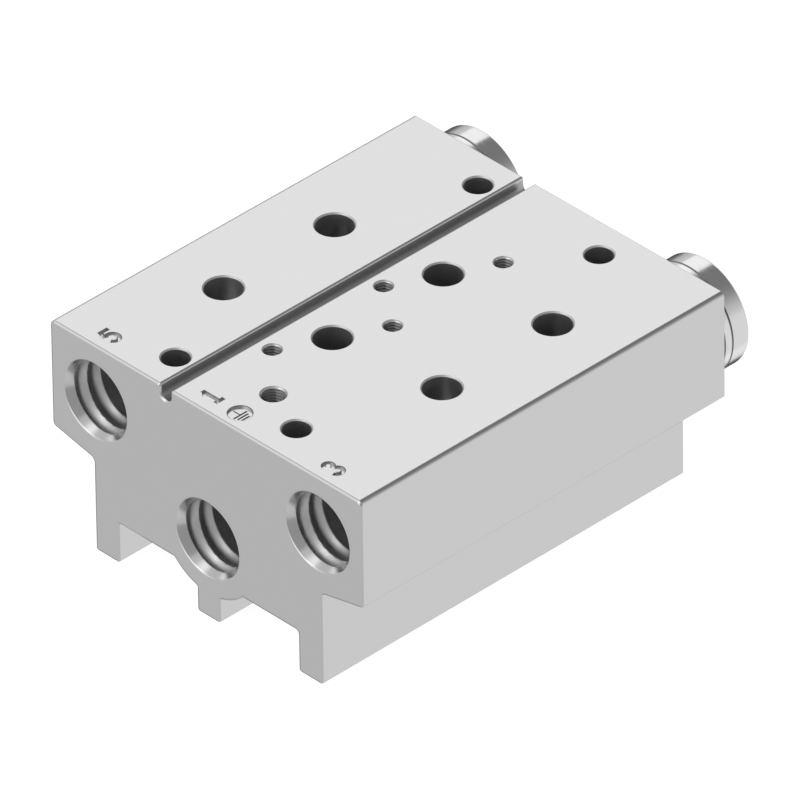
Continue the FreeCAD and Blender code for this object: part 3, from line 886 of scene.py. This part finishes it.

# %% [markdown]
# ## A finish for each place
#
# A milled or drilled place doesn't look like the outside: the tool leaves rings or lines. Several of
# these places are also given a darker tone than the block, which is painted shade in the hollows and
# along the seams. Faces could be picked by hand and given a finish of their own. Here they are picked
# all at once by how far they lie from a hole's axis, which holds when a size changes.

# %% Faces by place
def face_table(piece):
    """The middles of a piece's faces in millimetres, and the ways the faces point."""
    polygons = piece.data.polygons
    middles, normals = np.zeros((2, 3 * len(polygons)))
    polygons.foreach_get("center", middles)
    polygons.foreach_get("normal", normals)
    return middles.reshape(-1, 3) / MILLIMETRE, normals.reshape(-1, 3)


def finish_faces(piece, chosen, material):
    """Gives the chosen faces of a piece another finish."""
    polygons = piece.data.polygons
    slots = np.zeros(len(polygons), dtype=np.int32)
    polygons.foreach_get("material_index", slots)
    piece.data.materials.append(material)
    slots[chosen] = len(piece.data.materials) - 1
    polygons.foreach_set("material_index", slots)
    print(piece.name, material.name, int(chosen.sum()), "faces")


def cut_aluminium(name, tone, roughness, grain, stretch):
    """Aluminium as a tool leaves it, with marks along the way it cut."""
    limits = (0.85 * roughness, 1.15 * roughness)
    return metal(name, tone, roughness, limits, grain, stretch, 0.10)


def near_upright(places, radius):
    """True for the faces of the block that lie within a radius of one of several upright axes."""
    away = [np.hypot(middles[:, 0] - place[0], middles[:, 1] - place[1]) for place in places]
    return np.min(away, axis=0) < radius


middles, normals = face_table(block)
height = middles[:, 2]

# %% [markdown]
# ## Galleries, drillings and screw holes
#
# A tap leaves the threads of the ports fairly bright. The bore behind them is rougher and a little
# darker, and a drilled wall as rough and darker still: this darker tone is painted shade deep in the
# holes. The small screw threads have the darkest tone, which is painted shade in their narrow grooves. A
# countersink breaks the rims of the holes in the top and leaves them brighter than the walls.

# %% Finishes of the galleries
SLACK = 0.02
tapped_finish = cut_aluminium("tapped_aluminium", 0.8, 0.4, 2500, (1, 0.3, 1))
# The bore's darker tone is painted shade deep inside the gallery; its roughness is its own.
bore_painted_shade = cut_aluminium("bored_aluminium", 0.66, 0.5, 3000, (1, 0.1, 1))
from_front = middles[:, 1] - FRONT
from_end = np.minimum(from_front, 2 * HALF_LENGTH - from_front)
from_axis = np.min([np.hypot(middles[:, 0] - place[0], height - place[2])
                    for place in galleries.values()], axis=0)
in_gallery = (from_axis < MOUTH_RADIUS) & (from_end > mouth_depth(mount_size("port_1", "r_mm")))
in_thread = from_front < (THREAD_TURNS + 0.5) * PORT_PITCH
finish_faces(block, in_gallery & in_thread, tapped_finish)
finish_faces(block, in_gallery & ~in_thread, bore_painted_shade)

# %% Finishes of the holes in the top
SCREW_REACH = 12.0
# The drilled walls' darker tone is painted shade inside the holes; their roughness is their own.
drilled_wall_painted_shade = cut_aluminium("drilled_aluminium", 0.5, 0.5, 3000, (0.1, 0.1, 1))
rim_finish = cut_aluminium("broken_rims", 0.7, 0.45, 4000, EVEN)
# The small threads' very dark tone is painted shade in their grooves.
screw_hole_painted_shade = cut_aluminium("screw_thread", 0.3, 0.45, 5000, (1, 1, 0.3))
port_places = [mount_place(name) for name in valve_ports]
port_bore = mount_size(valve_ports[0], "r_mm")


def near_hole(margin):
    """True for the faces within a margin of the wall of a valve port or a mounting hole."""
    near_port = near_upright(port_places, port_bore + margin)
    return near_port | near_upright(mounting_places, mounting_radius + margin)


in_hole = near_hole(SLACK) & (height < HEIGHT - RIM) & (height > CEILING + RIM)
finish_faces(block, in_hole, drilled_wall_painted_shade)
in_screw_hole = near_upright(screw_places, VALVE_SCREW["mouth"])
in_screw_hole |= near_upright([mount_place("earth_hole")], EARTH_SCREW["mouth"])
countersink = VALVE_SCREW["mouth"] - VALVE_SCREW["core"]
below_rim = (height < HEIGHT - countersink) & (height > HEIGHT - SCREW_REACH)
finish_faces(block, in_screw_hole & below_rim, screw_hole_painted_shade)
on_rim = (near_hole(RIM) | in_screw_hole) & (height > HEIGHT - RIM) & (height < HEIGHT - SLACK)
finish_faces(block, on_rim, rim_finish)

# %% [markdown]
# ## Groove, marks and seams
#
# The label groove has long lines along it, and a darker tone that is painted shade in the groove. The
# walls of an engraved stroke are cut clean, but are given a darker tone as painted shade. Its lips are
# rougher and much darker, and so are the edges of the rings and the small chamfer under the head of each
# plug: this dark tone is painted shade along edges and seams. A face on one of these slopes is known by
# how much its normal leans.

# %% Finishes of the groove and the marks
LEANING = 0.3
NEARLY_FLAT = 0.97
MARK_REACH = 2.6
# The groove's darker tone is painted shade in the groove; its long grain and roughness are its own.
groove_painted_shade = cut_aluminium("milled_aluminium", 0.5, 0.35, 4000, (1, 0.04, 1))
# The engraved walls' darker tone is painted shade inside the strokes.
stroke_wall_painted_shade = cut_aluminium("engraved_aluminium", 0.6, 0.35, 4000, EVEN)
# This very dark tone is painted shade along the lips of the marks, the ring edges and the seam under
# each head; only the roughness is their own.
dull_edge_painted_shade = cut_aluminium("dull_edges", 0.3, 0.5, 5000, EVEN)
in_groove = np.abs(middles[:, 0] - GROOVE_PLACE) < GROOVE_HALF_WIDTH + SLACK
in_groove &= (height > HEIGHT - GROOVE_DEPTH - SLACK) & (height < HEIGHT - GROOVE_LIP_RADIUS)
finish_faces(block, in_groove & (np.abs(normals[:, 1]) < 0.5), groove_painted_shade)
near_mark = near_upright([EARTH_PLACE], EARTH_RADIUS + 2 * LIP_WIDTH)
near_mark |= near_upright([place for lines, place in MARKS.values()], MARK_REACH)
near_mark &= (height < HEIGHT - SLACK / 2) & (height > HEIGHT - 1)
finish_faces(block, near_mark & (np.abs(normals[:, 2]) < LEANING), stroke_wall_painted_shade)
finish_faces(block, near_mark & (normals[:, 2] > LEANING) & (normals[:, 2] < NEARLY_FLAT), dull_edge_painted_shade)

# %% Finishes of the seams
RING_LEANING = 0.15
# The ring edges and the chamfer under each head get the very dark finish: painted shade at the seams
# between ring, head and block.
for number in PORT_NUMBERS:
    ring = bpy.data.objects[f"ring_{number}"]
    tilt = np.abs(face_table(ring)[1][:, 1])
    finish_faces(ring, (tilt > RING_LEANING) & (tilt < NEARLY_FLAT), dull_edge_painted_shade)
    head = bpy.data.objects[f"plug_{number}"]
    places, ways = face_table(head)
    above_seat = places[:, 1] - node_box(f"sealing_ring_{number}")[1][1]
    on_chamfer = (np.abs(above_seat - HEAD_CHAMFER / 2) < SLACK) & (ways[:, 1] < -LEANING)
    finish_faces(head, on_chamfer, dull_edge_painted_shade)

# %% [markdown]
# ## The room
#
# Metal shows its surroundings, so the light is a room of soft tones. Lamps could light the block,
# but a polished plug would mirror each one as a spot. Here the room starts as one even tone, and
# round patches are painted over it, each where some surface mirrors the room towards the camera.
# The dot product of a direction with a patch's middle is the cosine of the angle between them, and
# tells how far inside the patch it lies.

# %% The room
def patch(tree, total, direction, inner, outer, tone):
    """Paints a round patch over the light that there is so far. It has its whole tone within the
    inner angle and fades out at the outer one, in degrees."""
    coordinates = tree.nodes.new("ShaderNodeTexCoord")
    toward = tree.nodes.new("ShaderNodeVectorMath")
    toward.operation = "DOT_PRODUCT"
    toward.inputs[1].default_value = Vector(direction).normalized()
    tree.links.new(coordinates.outputs["Generated"], toward.inputs[0])
    fade = tree.nodes.new("ShaderNodeMapRange")
    fade.interpolation_type = "SMOOTHSTEP"
    fade.inputs["From Min"].default_value = math.cos(math.radians(outer))
    fade.inputs["From Max"].default_value = math.cos(math.radians(inner))
    tree.links.new(toward.outputs["Value"], fade.inputs["Value"])
    paint = tree.nodes.new("ShaderNodeMix")
    paint.data_type = "FLOAT"
    tree.links.new(fade.outputs["Result"], paint.inputs["Factor"])
    tree.links.new(total, paint.inputs["A"])
    paint.inputs["B"].default_value = tone
    return paint.outputs["Result"]


ROOM_LIGHT = 0.6
PATCHES = [
    # ahead and below: for faces that stand nearly edge-on to the camera
    ((-0.5, 0.5, -0.7), 28, 58, 0.3),
    ((-0.587, 0.564, -0.581), 22, 38, 0.1),
    # low on the right: for the right side, and for what leans down a little from it
    ((0.584, 0.567, -0.581), 36, 50, 0.784),
    ((0.214, 0.564, -0.798), 4, 12, 0.9),
    # high behind: for the rounded edge between the top and the right side
    ((0.029, 0.564, 0.826), 10, 60, 0.2),
    # up and to the left: for the top, and for the slope along its front edge
    ((-0.584, 0.567, 0.581), 16, 19, 1.03),
    ((-0.587, 0.12, 0.8), 9, 14, 0.1),
    # in front: for the rims and mouths of the ports, and for the bevel of the front end
    ((-0.1, -0.97, 0.25), 15, 35, 1.25),
    ((-0.18, -0.34, 0.92), 8, 20, 0.82),
    ((-0.25, -0.6, 0.76), 10, 22, 1.45),
    ((-0.584, -0.581, 0.567), 10, 20, 0.88),
    # in front on the right: for the left wall of the mouths
    ((0.9, -0.4, 0.3), 38, 42, 0.35),
]


def build_room():
    """The world: an even tone under the patches, and plain white where the camera looks past the
    floor."""
    world = bpy.data.worlds.new("studio")
    bpy.context.scene.world = world
    world.use_nodes = True
    tree = world.node_tree
    base = tree.nodes.new("ShaderNodeValue")
    base.outputs[0].default_value = ROOM_LIGHT
    total = base.outputs[0]
    for direction, inner, outer, tone in PATCHES:
        total = patch(tree, total, direction, inner, outer, tone)
    background = tree.nodes["Background"]
    tree.links.new(total, background.inputs["Strength"])
    background.inputs["Color"].default_value = (1, 1, 1, 1)
    backdrop = tree.nodes.new("ShaderNodeBackground")
    backdrop.inputs["Color"].default_value = (1, 1, 1, 1)
    path = tree.nodes.new("ShaderNodeLightPath")
    choose = tree.nodes.new("ShaderNodeMixShader")
    tree.links.new(path.outputs["Is Camera Ray"], choose.inputs["Fac"])
    tree.links.new(background.outputs["Background"], choose.inputs[1])
    tree.links.new(backdrop.outputs["Background"], choose.inputs[2])
    tree.links.new(choose.outputs["Shader"], tree.nodes["World Output"].inputs["Surface"])


build_room()
bpy.context.scene.view_settings.view_transform = "Standard"

# %% [markdown]
# ## The floor
#
# The feet stand on a pale plain floor. It glows, so that it is as pale as the backdrop and keeps
# only a faint shadow.

# %% The floor
FLOOR_SIZE = 6.0
FLOOR_GLOW = 0.87


def build_floor():
    """A pale matt floor under the feet, in metres. Shiny surfaces don't see it, so that their tones
    come from the room alone."""
    half = FLOOR_SIZE / 2
    corners = [(-half, -half, 0), (half, -half, 0), (half, half, 0), (-half, half, 0)]
    mesh = bpy.data.meshes.new("floor")
    mesh.from_pydata(corners, [], [(0, 1, 2, 3)])
    floor = bpy.data.objects.new("floor", mesh)
    bpy.context.scene.collection.objects.link(floor)
    material, tree, shader = new_material("pale_floor", 0.4, 0, 0.9)
    shader.inputs["Emission Color"].default_value = (1, 1, 1, 1)
    shader.inputs["Emission Strength"].default_value = FLOOR_GLOW
    mesh.materials.append(material)
    floor.visible_glossy = False


build_floor()

# %% [markdown]
# ## The camera
#
# The picture was taken from far away, so parallel edges stay nearly parallel. A camera could be
# moved about until the picture fits. Here its angles, distance and lens were worked out from the
# places of known corners. The lens is its image distance in pixels, times the width of the sensor
# over that of the image.

# %% The camera
IMAGE_SIZE = 800
FOCAL_LENGTH = 20158.66
CAMERA_AZIMUTH = math.radians(46.1475)
CAMERA_ELEVATION = math.radians(35.5238)
CAMERA_ROLL = math.radians(-0.7747)
CAMERA_DISTANCE = 2872.59
LOOK_AT = Vector((0, 0, 18.25))
ASIDE = -1.4932
BELOW = -1.0488
SENSOR_WIDTH = 36.0
VIEW_END = 20.0


def build_camera():
    """Looks down at the object from the front right. Forward comes from the two angles, right and
    up are turned round it by the roll, and the aim is moved aside and down a little."""
    level = math.cos(CAMERA_ELEVATION)
    forward = Vector((-math.sin(CAMERA_AZIMUTH) * level, math.cos(CAMERA_AZIMUTH) * level,
                      -math.sin(CAMERA_ELEVATION)))
    flat_right = Vector((math.cos(CAMERA_AZIMUTH), math.sin(CAMERA_AZIMUTH), 0))
    flat_up = flat_right.cross(forward)
    right = math.cos(CAMERA_ROLL) * flat_right + math.sin(CAMERA_ROLL) * flat_up
    up = -math.sin(CAMERA_ROLL) * flat_right + math.cos(CAMERA_ROLL) * flat_up
    place = (LOOK_AT - ASIDE * right - BELOW * up - CAMERA_DISTANCE * forward) * MILLIMETRE
    data = bpy.data.cameras.new("camera")
    data.sensor_width = SENSOR_WIDTH
    data.lens = SENSOR_WIDTH * FOCAL_LENGTH / IMAGE_SIZE
    data.clip_end = VIEW_END
    camera = bpy.data.objects.new("camera", data)
    turned_to = Matrix((right, up, -forward)).transposed().to_4x4()
    camera.matrix_world = Matrix.Translation(place) @ turned_to
    bpy.context.scene.collection.objects.link(camera)
    bpy.context.scene.camera = camera


build_camera()
print("camera lens:", round(bpy.context.scene.camera.data.lens, 1), "mm")
